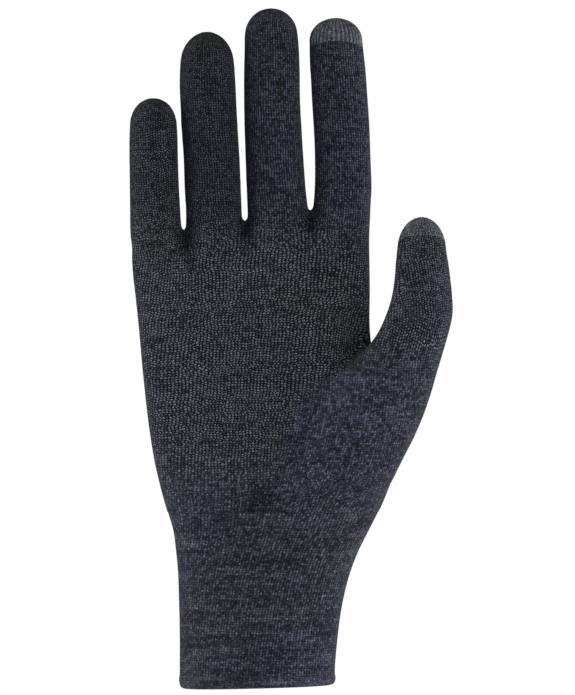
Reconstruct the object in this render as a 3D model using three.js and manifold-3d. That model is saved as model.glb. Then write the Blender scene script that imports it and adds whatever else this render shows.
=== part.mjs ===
// A thin knitted glove liner for the right hand, open and filled out as when it is worn.
// It is knitted in the round: a tube for the cuff and the palm, four finger tubes and a thumb tube,
// with the tips of the index finger and the thumb in a conductive yarn for touch screens.
// The palm faces -Y, the thumb stands on the +X side and the fingers point along +Z.
// The origin is the centre of the opening that the hand goes into. All sizes are in millimetres.
import * as THREE from "three";
import { mergeVertices } from "three/addons/utils/BufferGeometryUtils.js";
import Module from "manifold-3d";

// Driving sizes of the cuff and the palm
const CUFF_LENGTH = 65; // from the hem's edge to where the hand's finer knitting starts
const CUFF_WIDTH = 57;
const CUFF_DEPTH = 40;
const HEM_HEIGHT = 5; // the welt, turned in and knitted double
const PALM_LENGTH = 108; // from the cuff to the roots of the fingers
const PALM_DEPTH = 30;

// Driving sizes of the fingers: each length runs from the roots' line to the fingertip
const LITTLE_LENGTH = 44;
const RING_LENGTH = 68.2;
const MIDDLE_LENGTH = 77;
const INDEX_LENGTH = 73.7;
const LITTLE_WIDTH = 17;
const RING_WIDTH = 19.9;
const MIDDLE_WIDTH = 20.2;
const INDEX_WIDTH = 19.9;
const FINGER_GAP = 2.2; // between two fingers at their roots
const FINGER_THICKNESS = 0.86; // share of a finger's width
const ROOT_FLARE = 1.05; // a finger's width at its root, as a share of its own width
const KNUCKLE_SHARE = 0.528; // how much of the knuckles' width lies on the little finger's side

// Driving sizes of the thumb: its length runs from the fork with the palm to its tip
const THUMB_RISE = 61.7; // from the cuff to the fork between thumb and palm
const THUMB_LENGTH = 46.2;
const THUMB_WIDTH = 20.3;
const THUMB_DEPTH = 18;
const THUMB_FORWARD = 12; // how far the thumb's middle stands in front of the palm's

// The hand is knitted in zones: each finger's own tube starts a stub's length over the web
// between the fingers, and the thumb's over its fork
const FINGER_STUB = 1.5;
const THUMB_STUB = 4;

// The tips of conductive yarn, measured down from the very tip along the finger's middle line
const INDEX_TIP_HEIGHT = 11;
const THUMB_TIP_HEIGHT = 8.5;
const TIP_TILT = 14; // degrees: the tip's edge is higher on the palm side

// Walls of knitted cloth, and the clearance between two pieces
const HAND_WALL = 1.2;
const CUFF_WALL = 1.5;
const HEM_WALL = 2.4;
const PIECE_GAP = 0.3;

// How fine the facets are
const TRUNK_SIDES = 34;
const FINGER_SIDES = 20;
const THUMB_SIDES = 24;
const DOME_STEPS = 4;
const TRUNK_SQUARENESS = 2.5; // 2 is an oval, more is boxier
const FINGER_SQUARENESS = 2.1;

// The colours of the yarns
const KNIT_COLOUR = 0x2f323a;
const CUFF_COLOUR = 0x2d3038;
const TIP_COLOUR = 0x4a4e51;
const YARN_ROUGHNESS = 0.95;

// The fingers, from the little finger to the index finger. sway is how far the tip leans to the
// little finger's side, bow how far the middle joint stands to the other side of that line, and
// curl how far the tip bends to the palm, all as shares of the length.
const FINGERS = [
  { name: "little", length: LITTLE_LENGTH, width: LITTLE_WIDTH, sway: -0.03, bow: 0, curl: 0.05 },
  { name: "ring", length: RING_LENGTH, width: RING_WIDTH, sway: -0.037, bow: -0.003, curl: 0.04 },
  { name: "middle", length: MIDDLE_LENGTH, width: MIDDLE_WIDTH, sway: -0.035, bow: -0.004, curl: 0.035 },
  { name: "index", length: INDEX_LENGTH, width: INDEX_WIDTH, sway: -0.028, bow: 0.024, curl: 0.04 },
];

// One finger's sections up to its round tip. up is a share of that stretch, below 0 inside the
// palm; wide and deep are shares of the finger's width and thickness; bend is how much of its
// sway and curl it has by there, and out how much of its bow.
const FINGER_ROWS = [
  { up: -0.36, wide: 0.86, deep: 0.84, bend: 0, out: 0 },
  { up: -0.14, wide: ROOT_FLARE, deep: 1.1, bend: 0, out: 0 },
  { up: 0.05, wide: ROOT_FLARE, deep: 1.09, bend: 0.04, out: 0.35 },
  { up: 0.3, wide: 1.01, deep: 1.02, bend: 0.25, out: 0.95 },
  { up: 0.55, wide: 1, deep: 1, bend: 0.5, out: 1 },
  { up: 0.8, wide: 0.98, deep: 0.95, bend: 0.76, out: 0.6 },
  { up: 1, wide: 0.95, deep: 0.9, bend: 0.95, out: 0.1 },
];
const TIP_ROUNDNESS = 1.08; // height of the round tip, as a share of its half width

// The cuff's sections. up is a share of its length; left and right are shares of its width and
// front and back of its depth, from the middle of the opening.
const CUFF_ROWS = [
  { up: 0, left: -0.482, right: 0.486, front: -0.482, back: 0.482 },
  { up: 0.018, left: -0.495, right: 0.496, front: -0.498, back: 0.498 },
  { up: 0.12, left: -0.498, right: 0.499, front: -0.5, back: 0.5 },
  { up: 0.385, left: -0.498, right: 0.53, front: -0.49, back: 0.49 },
  { up: 0.615, left: -0.504, right: 0.581, front: -0.485, back: 0.475 },
  { up: 0.815, left: -0.526, right: 0.668, front: -0.49, back: 0.46 },
];

// The palm's sections. up is a share of its length; left and right are shares of the knuckles'
// width and front and back of the palm's depth; slant is how much higher the section is on the
// index finger's side, as a share of the knuckles' width; lid grows to 1 where the cloth closes
// over between the fingers.
const PALM_ROWS = [
  { up: 0, left: -0.375, right: 0.511, front: -0.66, back: 0.59, slant: 0, lid: 0 },
  { up: 0.139, left: -0.421, right: 0.586, front: -0.63, back: 0.57, slant: 0, lid: 0 },
  { up: 0.278, left: -0.451, right: 0.6, front: -0.58, back: 0.54, slant: 0, lid: 0 },
  { up: 0.417, left: -0.471, right: 0.56, front: -0.54, back: 0.52, slant: 0, lid: 0 },
  { up: 0.528, left: -0.485, right: 0.486, front: -0.51, back: 0.5, slant: 0, lid: 0 },
  { up: 0.602, left: -0.49, right: 0.473, front: -0.5, back: 0.48, slant: 0.02, lid: 0 },
  { up: 0.741, left: -0.507, right: 0.472, front: -0.46, back: 0.44, slant: 0.05, lid: 0 },
  { up: 0.86, left: -0.523, right: 0.47, front: -0.4, back: 0.38, slant: 0.08, lid: 0 },
  { up: 0.93, left: -0.525, right: 0.468, front: -0.32, back: 0.31, slant: 0.11, lid: 0.5 },
  { up: 0.965, left: -0.515, right: 0.455, front: -0.24, back: 0.23, slant: 0.13, lid: 1 },
  { up: 0.985, left: -0.485, right: 0.43, front: -0.13, back: 0.13, slant: 0.14, lid: 1 },
];

// The ball of the thumb, from inside the wrist up to the fork. up is a share of the thumb's
// rise; left and right are shares of its width from the palm's edge, and front and back shares
// of its depth from the thumb's own middle line.
const BALL_ROWS = [
  { up: -0.05, left: -1.44, right: -0.3, front: -0.2, back: 0.75 },
  { up: 0.2, left: -1.38, right: 0.42, front: -0.6, back: 1.05 },
  { up: 0.4, left: -1.2, right: 0.73, front: -0.76, back: 1.02 },
  { up: 0.57, left: -0.946, right: 0.95, front: -0.82, back: 0.9 },
  { up: 0.73, left: -0.66, right: 1.095, front: -0.8, back: 0.8 },
  { up: 0.89, left: -0.3, right: 1.235, front: -0.74, back: 0.68 },
];

// The free thumb from the fork to its round tip, in the same columns, with up a share of its
// length.
const THUMB_ROWS = [
  { up: 0, left: 0.05, right: 1.33, front: -0.7, back: 0.62 },
  { up: 0.135, left: 0.23, right: 1.425, front: -0.66, back: 0.58 },
  { up: 0.274, left: 0.35, right: 1.46, front: -0.62, back: 0.55 },
  { up: 0.435, left: 0.43, right: 1.43, front: -0.56, back: 0.52 },
  { up: 0.6, left: 0.455, right: 1.39, front: -0.52, back: 0.49 },
  { up: 0.715, left: 0.475, right: 1.345, front: -0.49, back: 0.46 },
];

// Dents pressed into the front of the palm and the cuff: across is a share of the knuckles'
// width from the middle of the opening, up a share of the palm's length, broad and tall are the
// dent's half sizes as shares of the same two, and deep is a share of the palm's depth.
const DENTS = [
  { name: "hollow of the palm", across: -0.08, up: 0.5, broad: 0.36, tall: 0.42, deep: 0.1 },
  { name: "crease over the wrist", across: 0.02, up: 0.03, broad: 0.2, tall: 0.1, deep: 0.05 },
];

// Sizes that follow from the driving ones
const KNUCKLE_WIDTH =
  FINGERS.reduce((sum, finger) => sum + finger.width * ROOT_FLARE, 0) +
  FINGER_GAP * (FINGERS.length - 1);
const PALM_LEFT = -KNUCKLE_SHARE * KNUCKLE_WIDTH;
const PALM_RIGHT = PALM_LEFT + KNUCKLE_WIDTH;
const ROOT_LINE = CUFF_LENGTH + PALM_LENGTH;
const THUMB_FORK = CUFF_LENGTH + THUMB_RISE;
const THUMB_START = THUMB_FORK + THUMB_STUB;
const TOP = 2 * (ROOT_LINE + MIDDLE_LENGTH + THUMB_LENGTH); // well over every fingertip
const OVERRUN = 1; // how far a hollow runs past the cuff's edge, to leave it open

const wasm = await Module();
wasm.setup();

// A closed geometry as a solid that can be joined and cut.
function solidOf(geometry) {
  const bare = new THREE.BufferGeometry();
  bare.setAttribute("position", geometry.getAttribute("position"));
  bare.setIndex(geometry.index);
  const merged = mergeVertices(bare, 1e-4);
  return new wasm.Manifold(
    new wasm.Mesh({
      numProp: 3,
      vertProperties: new Float32Array(merged.attributes.position.array),
      triVerts: new Uint32Array(merged.index.array),
    }),
  );
}

// A solid as a geometry with flat facets.
function geometryOf(solid) {
  const mesh = solid.getMesh();
  const geometry = new THREE.BufferGeometry();
  geometry.setAttribute("position", new THREE.BufferAttribute(mesh.vertProperties, 3));
  geometry.setIndex(new THREE.BufferAttribute(mesh.triVerts, 1));
  const faceted = geometry.toNonIndexed();
  faceted.computeVertexNormals();
  return faceted;
}

function join(solids) {
  return solids.reduce((whole, solid) => whole.add(solid));
}

// One section: a level ring between its four sides, rounded like an oval or more like a box.
function sectionRing({ z, left, right, front, back, slant = 0 }, sides, squareness) {
  const ring = [];
  for (let side = 0; side < sides; side++) {
    const angle = (2 * Math.PI * side) / sides;
    const across = Math.sign(Math.cos(angle)) * Math.abs(Math.cos(angle)) ** (2 / squareness);
    const along = Math.sign(Math.sin(angle)) * Math.abs(Math.sin(angle)) ** (2 / squareness);
    const x = (left + right) / 2 + (across * (right - left)) / 2;
    const y = (front + back) / 2 + (along * (back - front)) / 2;
    ring.push(new THREE.Vector3(x, y, z + slant * across));
  }
  return ring;
}

// A section made smaller by a wall all round.
function inset(section, wall) {
  return {
    ...section,
    left: section.left + wall,
    right: section.right - wall,
    front: section.front + wall,
    back: section.back - wall,
  };
}

// The rings that close a tube over its last section in a round tip of the given height.
function domeSections(section, height) {
  const middleX = (section.left + section.right) / 2;
  const middleY = (section.front + section.back) / 2;
  const sections = [];
  for (let step = 1; step <= DOME_STEPS; step++) {
    const angle = (Math.PI / 2) * (step / (DOME_STEPS + 0.6));
    const share = Math.cos(angle);
    sections.push({
      z: section.z + height * Math.sin(angle),
      left: middleX + (section.left - middleX) * share,
      right: middleX + (section.right - middleX) * share,
      front: middleY + (section.front - middleY) * share,
      back: middleY + (section.back - middleY) * share,
    });
  }
  return { sections, apex: new THREE.Vector3(middleX, middleY, section.z + height) };
}

// A closed skin over a stack of rings. Its ends are fans, the top one to the apex if there is one.
function loft(rings, apex) {
  const sides = rings[0].length;
  const points = rings.flat();
  const faces = [];
  for (let row = 0; row < rings.length - 1; row++) {
    for (let side = 0; side < sides; side++) {
      const here = row * sides + side;
      const next = row * sides + ((side + 1) % sides);
      faces.push(here, next, here + sides);
      faces.push(next, next + sides, here + sides);
    }
  }
  const middle = (ring) =>
    ring.reduce((sum, point) => sum.add(point), new THREE.Vector3()).divideScalar(sides);
  const bottom = points.push(middle(rings[0])) - 1;
  const top = points.push(apex ?? middle(rings.at(-1))) - 1;
  const last = (rings.length - 1) * sides;
  for (let side = 0; side < sides; side++) {
    const next = (side + 1) % sides;
    faces.push(bottom, next, side);
    faces.push(top, last + side, last + next);
  }
  return new THREE.BufferGeometry().setFromPoints(points).setIndex(faces);
}

// How far the dents push back a point of the front.
function dentDepth(x, z) {
  let depth = 0;
  for (const dent of DENTS) {
    const across = (x - dent.across * KNUCKLE_WIDTH) / (dent.broad * KNUCKLE_WIDTH);
    const up = (z - CUFF_LENGTH - dent.up * PALM_LENGTH) / (dent.tall * PALM_LENGTH);
    const reach = Math.max(0, 1 - across * across - up * up);
    depth += dent.deep * PALM_DEPTH * reach * reach;
  }
  return depth;
}

// The tube of the cuff and the palm, closed over between the fingers. It runs on below the
// opening by overrun, where it is made as the hollow.
function trunk(wall, overrun = 0) {
  const cuff = CUFF_ROWS.map((row) => ({
    z: row.up * CUFF_LENGTH,
    left: row.left * CUFF_WIDTH,
    right: row.right * CUFF_WIDTH,
    front: row.front * CUFF_DEPTH,
    back: row.back * CUFF_DEPTH,
  }));
  const palm = PALM_ROWS.map((row) => ({
    z: CUFF_LENGTH + row.up * PALM_LENGTH - row.lid * wall,
    left: row.left * KNUCKLE_WIDTH,
    right: row.right * KNUCKLE_WIDTH,
    front: row.front * PALM_DEPTH,
    back: row.back * PALM_DEPTH,
    slant: (row.slant * KNUCKLE_WIDTH) / 2,
  }));
  const sections = [...cuff, ...palm];
  if (overrun > 0) sections.unshift({ ...sections[0], z: -overrun });
  const rings = sections.map((section) =>
    sectionRing(inset(section, wall), TRUNK_SIDES, TRUNK_SQUARENESS),
  );
  for (const ring of rings) {
    const middle = (ring[0].y + ring[TRUNK_SIDES / 2].y) / 2;
    for (const point of ring) {
      if (point.y < middle) point.y += dentDepth(point.x, point.z);
    }
  }
  return solidOf(loft(rings));
}

// The middle line of a finger where it leaves the palm.
function rootX(finger) {
  const before = FINGERS.slice(0, FINGERS.indexOf(finger));
  return before.reduce(
    (x, other) => x + other.width * ROOT_FLARE + FINGER_GAP,
    PALM_LEFT + (finger.width * ROOT_FLARE) / 2,
  );
}

// One finger's tube, from inside the palm to its round tip.
function fingerTube(finger, wall) {
  const domeHeight = (TIP_ROUNDNESS * FINGER_ROWS.at(-1).wide * finger.width) / 2;
  const straight = finger.length - domeHeight;
  const sections = FINGER_ROWS.map((row) => {
    const x = rootX(finger) + (row.bend * finger.sway + row.out * finger.bow) * finger.length;
    const y = -row.bend * finger.curl * finger.length;
    const halfWidth = (row.wide * finger.width) / 2;
    const halfDepth = (row.deep * FINGER_THICKNESS * finger.width) / 2;
    return inset(
      {
        z: ROOT_LINE + row.up * straight,
        left: x - halfWidth,
        right: x + halfWidth,
        front: y - halfDepth,
        back: y + halfDepth,
      },
      wall,
    );
  });
  const dome = domeSections(sections.at(-1), domeHeight - wall);
  const rings = [...sections, ...dome.sections].map((section) =>
    sectionRing(section, FINGER_SIDES, FINGER_SQUARENESS),
  );
  return solidOf(loft(rings, dome.apex));
}

// The thumb's tube: its ball over the palm's edge, and the free thumb with its round tip.
function thumbTube(wall) {
  const place = (row, z) =>
    inset(
      {
        z,
        left: PALM_RIGHT + row.left * THUMB_WIDTH,
        right: PALM_RIGHT + row.right * THUMB_WIDTH,
        front: -THUMB_FORWARD + row.front * THUMB_DEPTH,
        back: -THUMB_FORWARD + row.back * THUMB_DEPTH,
      },
      wall,
    );
  const sections = [
    ...BALL_ROWS.map((row) => place(row, CUFF_LENGTH + row.up * THUMB_RISE)),
    ...THUMB_ROWS.map((row) => place(row, THUMB_FORK + row.up * THUMB_LENGTH)),
  ];
  const domeHeight = (1 - THUMB_ROWS.at(-1).up) * THUMB_LENGTH;
  const dome = domeSections(sections.at(-1), domeHeight - wall);
  const rings = [...sections, ...dome.sections].map((section) =>
    sectionRing(section, THUMB_SIDES, FINGER_SQUARENESS),
  );
  return solidOf(loft(rings, dome.apex));
}

// The space in the whole glove, left by a wall of the given thickness.
function hollow(wall) {
  return join([
    trunk(wall, OVERRUN),
    ...FINGERS.map((finger) => fingerTube(finger, wall)),
    thumbTube(wall),
  ]);
}

// A level slab between two heights, wide enough to hold the whole glove.
function slab(low, high) {
  const span = 4 * (KNUCKLE_WIDTH + THUMB_WIDTH);
  const box = new THREE.BoxGeometry(span, span, high - low);
  box.translate(0, 0, (low + high) / 2);
  return solidOf(box);
}

// The parts of a solid over and under a level cut, each half a clearance away from it.
function above(solid, height) {
  return solid.intersect(slab(height + PIECE_GAP / 2, TOP));
}

function below(solid, height) {
  return solid.intersect(slab(-OVERRUN, height - PIECE_GAP / 2));
}

// The height of the web that closes the palm between the fingers.
function webHeight(x) {
  const lid = PALM_ROWS.at(-1);
  const middle = ((lid.left + lid.right) / 2) * KNUCKLE_WIDTH;
  const half = ((lid.right - lid.left) / 2) * KNUCKLE_WIDTH;
  const across = THREE.MathUtils.clamp((x - middle) / half, -1, 1);
  return CUFF_LENGTH + lid.up * PALM_LENGTH + (across * lid.slant * KNUCKLE_WIDTH) / 2;
}

// Where a finger's own tube starts, over the higher one of the webs beside it.
function fingerStart(finger) {
  return webHeight(rootX(finger) + finger.width / 2) + FINGER_STUB;
}

// A tilted box that holds the tip of one finger tube: its lower face crosses the middle line
// the given height below the tip, moved up or down by shift.
function tipBox({ x, y, top, height, width, shift }) {
  const tall = 2 * height;
  const box = new THREE.BoxGeometry(width + FINGER_GAP, 3 * width, tall);
  box.translate(0, 0, tall / 2 + shift);
  box.rotateX(-THREE.MathUtils.degToRad(TIP_TILT));
  box.translate(x, y, top - height);
  return solidOf(box);
}

const index = FINGERS.at(-1);
const lastThumbRow = THUMB_ROWS.at(-1);
const indexTip = {
  x: rootX(index) + index.sway * index.length,
  y: -index.curl * index.length,
  top: ROOT_LINE + index.length,
  height: INDEX_TIP_HEIGHT,
  width: index.width,
};
const thumbTip = {
  x: PALM_RIGHT + ((lastThumbRow.left + lastThumbRow.right) / 2) * THUMB_WIDTH,
  y: -THUMB_FORWARD,
  top: THUMB_FORK + THUMB_LENGTH,
  height: THUMB_TIP_HEIGHT,
  width: THUMB_WIDTH,
};

function yarn(colour) {
  return new THREE.MeshStandardMaterial({
    color: colour,
    roughness: YARN_ROUGHNESS,
    metalness: 0,
  });
}

function piece(name, solid, material) {
  const mesh = new THREE.Mesh(geometryOf(solid), material);
  mesh.name = name;
  return mesh;
}

// The five-finger part of the hand's tube: the palm and back from the cuff to just over the
// thumb's fork, with the ball of the thumb and the stub that the thumb goes on from.
function lowerPalm() {
  const cloth = join([trunk(0), thumbTube(0)]).subtract(hollow(HAND_WALL));
  return piece("lower_palm", above(below(cloth, THUMB_START), CUFF_LENGTH), yarn(KNIT_COLOUR));
}

// The four-finger part: the palm and back over the thumb's fork, closed between the fingers,
// with the stubs that they go on from.
function upperPalm() {
  const form = join([
    trunk(0),
    ...FINGERS.map((finger) => below(fingerTube(finger, 0), fingerStart(finger))),
  ]);
  const space = join([trunk(HAND_WALL), ...FINGERS.map((finger) => fingerTube(finger, HAND_WALL))]);
  return piece("upper_palm", above(form.subtract(space), THUMB_START), yarn(KNIT_COLOUR));
}

// The cloth of one finger's own tube, and the thumb's.
function fingerCloth(finger) {
  const cloth = fingerTube(finger, 0).subtract(fingerTube(finger, HAND_WALL));
  return above(cloth, fingerStart(finger));
}

function thumbCloth() {
  return above(thumbTube(0).subtract(thumbTube(HAND_WALL)), THUMB_START);
}

// A finger or the thumb that ends in a touch tip, open where the tip goes on.
function openFinger(name, cloth, tip) {
  return piece(name, cloth.subtract(tipBox({ ...tip, shift: -PIECE_GAP / 2 })), yarn(KNIT_COLOUR));
}

// A fingertip knitted in conductive yarn.
function touchTip(name, cloth, tip) {
  return piece(name, cloth.intersect(tipBox({ ...tip, shift: PIECE_GAP / 2 })), yarn(TIP_COLOUR));
}

// The ribbed cuff, between the hem and the hand.
function wristCuff() {
  const cloth = join([trunk(0), below(thumbTube(0), THUMB_START)]).subtract(hollow(CUFF_WALL));
  return piece("wrist_cuff", above(below(cloth, CUFF_LENGTH), HEM_HEIGHT), yarn(CUFF_COLOUR));
}

// The welt round the opening: the cuff's edge turned in and knitted double.
function cuffHem() {
  const cloth = trunk(0).subtract(trunk(HEM_WALL, OVERRUN));
  return piece("cuff_hem", below(cloth, HEM_HEIGHT), yarn(CUFF_COLOUR));
}

const glove = new THREE.Group();
glove.add(cuffHem(), wristCuff(), lowerPalm(), upperPalm());
for (const finger of FINGERS) {
  if (finger === index) continue;
  glove.add(piece(finger.name + "_finger", fingerCloth(finger), yarn(KNIT_COLOUR)));
}
glove.add(
  openFinger("index_finger", fingerCloth(index), indexTip),
  openFinger("thumb", thumbCloth(), thumbTip),
  touchTip("index_touch_tip", fingerCloth(index), indexTip),
  touchTip("thumb_touch_tip", thumbCloth(), thumbTip),
);

export default glove;
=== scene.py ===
import math

import bpy
import numpy as np
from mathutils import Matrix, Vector


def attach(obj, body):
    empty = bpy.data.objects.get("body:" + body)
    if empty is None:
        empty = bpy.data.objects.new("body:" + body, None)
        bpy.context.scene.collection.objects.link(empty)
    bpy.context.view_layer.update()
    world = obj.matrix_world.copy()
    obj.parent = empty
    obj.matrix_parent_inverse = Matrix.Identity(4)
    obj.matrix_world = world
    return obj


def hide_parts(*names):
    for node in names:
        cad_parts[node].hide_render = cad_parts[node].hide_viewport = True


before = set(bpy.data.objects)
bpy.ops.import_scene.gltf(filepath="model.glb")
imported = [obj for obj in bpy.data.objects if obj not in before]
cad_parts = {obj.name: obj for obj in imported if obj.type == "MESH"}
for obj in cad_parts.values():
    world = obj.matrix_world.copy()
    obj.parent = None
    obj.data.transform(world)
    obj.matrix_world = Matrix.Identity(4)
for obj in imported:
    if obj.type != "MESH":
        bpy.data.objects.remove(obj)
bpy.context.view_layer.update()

# The knitted form: the real glove is knitted in the round as tubes, one for cuff and palm, one
# for each finger and one for the thumb, which run into one another. Here each tube is shaped
# from its sections, and the tubes are then grown together into one skin.
MM = 0.001
# in mm: a tube's height between two rings, the grid of the joined skin, and how far each tube
# is drawn in before they are joined; then the number of rings in a round tip
RING_STEP = 2.4
SKIN_STEP = 1.12
GROWTH = 0.45
DOME_RINGS = 8

# height, left, right, front, back, and how much higher the section is on the index finger's side
TRUNK_ROWS = [
    (0, -27.9, 28.1, -19.5, 19.5, 0),
    (1.5, -28.3, 28.5, -19.9, 19.9, 0),
    (7, -28.4, 28.6, -20.0, 20.0, 0),
    (17.7, -28.4, 29.5, -19.8, 19.8, 0),
    (32.4, -28.7, 31.6, -19.5, 19.3, 0),
    (43.4, -29.1, 34.5, -19.4, 18.9, 0),
    (50.8, -29.8, 37.4, -19.5, 18.5, 0),
    (58.2, -30.8, 41.1, -19.7, 18.1, 0),
    (65.5, -33.0, 44.8, -19.8, 17.7, 0),
    (72.9, -35.1, 48.0, -19.4, 17.4, 0),
    (84, -37.7, 51.5, -18.6, 16.9, 0),
    (95, -39.5, 52.5, -17.5, 16.2, 0),
    (110, -41.3, 49.0, -16.2, 15.6, 0),
    (122, -42.5, 42.8, -15.3, 15.0, 0),
    (130, -43.1, 41.5, -15.0, 14.4, 0.9),
    (145, -44.5, 41.4, -13.8, 13.2, 2.2),
    (158, -45.8, 41.2, -12.0, 11.4, 3.6),
    (165.4, -46.0, 41.0, -9.8, 9.4, 4.8),
    (169.2, -45.2, 40.0, -7.4, 7.0, 5.7),
    (171.6, -42.6, 37.8, -4.0, 4.0, 6.1),
]
# Each finger: height, left and right, up to its round tip, then that tip's height, how far the
# finger curls to the palm, and how many wales of knitting run up its front
FINGERS = {
    "little": dict(
        rows=[
            (150, -43.5, -30.5),
            (160, -45.6, -28.2),
            (168, -46.6, -28.0),
            (176, -46.7, -28.4),
            (183.4, -46.8, -28.8),
            (194.4, -46.9, -29.2),
            (202, -46.9, -29.4),
            (207.4, -46.7, -29.6),
        ],
        tip=9.8,
        curl=2.2,
        wales=28,
    ),
    "ring": dict(
        rows=[
            (150, -23.5, -8.0),
            (160, -25.6, -6.0),
            (170, -26.1, -5.7),
            (176, -26.1, -5.8),
            (183.4, -26.5, -6.1),
            (194.4, -26.9, -6.5),
            (205.5, -27.6, -7.2),
            (212.8, -28.0, -7.6),
            (222, -28.4, -8.0),
            (229.4, -28.2, -8.5),
        ],
        tip=12.1,
        curl=2.7,
        wales=32,
    ),
    "middle": dict(
        rows=[
            (150, -0.5, 15.5),
            (162, -2.8, 18.0),
            (170, -3.2, 18.8),
            (176, -3.4, 18.6),
            (183.4, -3.7, 17.8),
            (194.4, -4.1, 17.0),
            (205.5, -4.5, 16.3),
            (217, -4.7, 15.7),
            (228, -4.7, 15.6),
            (235, -4.5, 15.3),
            (240.0, -4.5, 14.9),
        ],
        tip=10.2,
        curl=2.7,
        wales=33,
    ),
    "index": dict(
        rows=[
            (150, 22.5, 38.0),
            (162, 20.8, 40.6),
            (170, 20.2, 41.4),
            (176, 20.7, 41.6),
            (183.4, 21.3, 42.0),
            (194.4, 21.4, 41.7),
            (205.5, 21.0, 41.3),
            (216.5, 20.3, 40.6),
            (223.9, 19.9, 40.1),
            (231.2, 19.5, 39.4),
            (238.2, 19.4, 38.6),
        ],
        tip=8.4,
        curl=2.9,
        wales=33,
    ),
}
# a finger's depth as a share of its width, and the height from which it curls to the palm
FINGER_THICKNESS = 0.86
CURL_START = 176
# The thumb with its ball: height, left, right, front, back; then the height of its round tip
THUMB_ROWS = [
    (62, 10.0, 35.2, -14.6, 1.5),
    (73.3, 10.5, 47.3, -19.6, 6.4),
    (84.2, 12.5, 53.2, -22.6, 6.8),
    (95.2, 17.0, 58.7, -24.4, 5.3),
    (106.2, 24.0, 62.9, -25.0, 3.2),
    (117.2, 32.6, 66.1, -24.8, 0.7),
    (122, 37.2, 67.5, -24.6, -0.2),
    (128.1, 42.8, 69.3, -24.2, -1.1),
    (132, 45.2, 70.4, -24.0, -1.5),
    (135.4, 46.7, 71.2, -23.6, -1.8),
    (139.1, 48.2, 71.7, -23.2, -2.1),
    (142.9, 49.3, 71.5, -22.7, -2.4),
    (150.1, 50.5, 70.8, -21.9, -2.9),
    (157.5, 51.1, 69.8, -21.1, -3.5),
    (160.2, 51.4, 69.3, -20.8, -3.7),
]
THUMB_TIP = 13.0
# the form of the sections: 2 is an oval, more is boxier
TRUNK_SQUARENESS = 2.5
FINGER_SQUARENESS = 2.1


def sizes_at(rows, height):
    """The table's sizes at these heights, curved smoothly from row to row."""
    table = np.array(rows, float)
    at, sizes = table[:, 0], table[:, 1:]
    slopes = np.gradient(sizes, at, axis=0)
    low = np.clip(np.searchsorted(at, height) - 1, 0, len(at) - 2)
    gap = (at[low + 1] - at[low])[:, None]
    t = np.clip((height - at[low])[:, None] / gap, 0, 1)
    return (
        (2 * t**3 - 3 * t**2 + 1) * sizes[low]
        + (t**3 - 2 * t**2 + t) * gap * slopes[low]
        + (3 * t**2 - 2 * t**3) * sizes[low + 1]
        + (t**3 - t**2) * gap * slopes[low + 1]
    )


def rounded(value, squareness):
    return np.sign(value) * np.abs(value) ** (2 / squareness)


def ring_points(sizes, angle, squareness, share=1.0):
    """Points round a section between its four sides; share draws them in to its middle."""
    left, right, front, back = sizes[:, 0], sizes[:, 1], sizes[:, 2], sizes[:, 3]
    across = rounded(np.cos(angle), squareness) * share
    along = rounded(np.sin(angle), squareness) * share
    x = (left + right) / 2 + across * (right - left) / 2
    y = (front + back) / 2 + along * (back - front) / 2
    return x, y, across


def finger_sections(finger):
    """A finger's table with its front and back worked out from its width and its curl."""
    rows = []
    low, high = CURL_START, finger["rows"][-1][0]
    for height, left, right in finger["rows"]:
        bent = max(0.0, (height - low) / (high - low))
        middle = -finger["curl"] * bent
        # a finger is a little thicker at its root than at its tip
        depth = FINGER_THICKNESS * (right - left) / 2 * (1.06 - 0.1 * bent)
        rows.append((height, left, right, middle - depth, middle + depth))
    return rows


def cut_rings(piece, rings):
    """Cuts a plain cylinder's upright edges, so that it has this many rings of vertices."""
    ends = np.empty(len(piece.data.edges) * 2, int)
    piece.data.edges.foreach_get("vertices", ends)
    heights = vertices_of(piece)[ends, 2].reshape(-1, 2)
    bpy.ops.object.mode_set(mode="EDIT")
    bpy.ops.mesh.select_mode(type="EDGE")
    bpy.ops.mesh.select_all(action="DESELECT")
    bpy.ops.object.mode_set(mode="OBJECT")
    piece.data.edges.foreach_set("select", np.abs(heights[:, 0] - heights[:, 1]) > 0.5)
    bpy.ops.object.mode_set(mode="EDIT")
    bpy.ops.mesh.subdivide(number_cuts=rings - 2)
    bpy.ops.object.mode_set(mode="OBJECT")


def tube(name, rows, sides, squareness, tip=0.0):
    """A cylinder cut into rings, each set to its section, closed in a round tip. It is drawn in
    by GROWTH all round, which the joined skin gets back, so that close fingers stay apart."""
    low, high = rows[0][0], rows[-1][0]
    count = int((high - low) / RING_STEP)
    heights = list(np.linspace(low, high, count))
    shares = [1.0] * count
    lifts = [0.0] * count
    if tip:
        for angle in np.linspace(0, math.pi / 2, DOME_RINGS + 1)[1:]:
            heights.append(high)
            # the last ring keeps a little width, and the cylinder's end face closes it
            shares.append(max(0.04, math.cos(angle)))
            lifts.append((tip - GROWTH) * math.sin(angle))
    bpy.ops.object.select_all(action="DESELECT")
    bpy.ops.mesh.primitive_cylinder_add(vertices=sides, radius=1, depth=1)
    form = bpy.context.object
    form.name = name
    cut_rings(form, len(heights))
    points = vertices_of(form)
    ring = np.rint((points[:, 2] + 0.5) * (len(heights) - 1)).astype(int)
    angle = np.arctan2(points[:, 1], points[:, 0])
    sizes = sizes_at(rows, np.array(heights))[ring]
    sizes[:, :4] += np.array([1, -1, 1, -1]) * GROWTH
    x, y, across = ring_points(sizes, angle, squareness, np.array(shares)[ring])
    z = np.array(heights)[ring] + np.array(lifts)[ring]
    if sizes.shape[1] > 4:
        z = z + sizes[:, 4] * across
    set_vertices(form, np.stack([x, y, z], axis=1) * MM)
    return form


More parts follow.
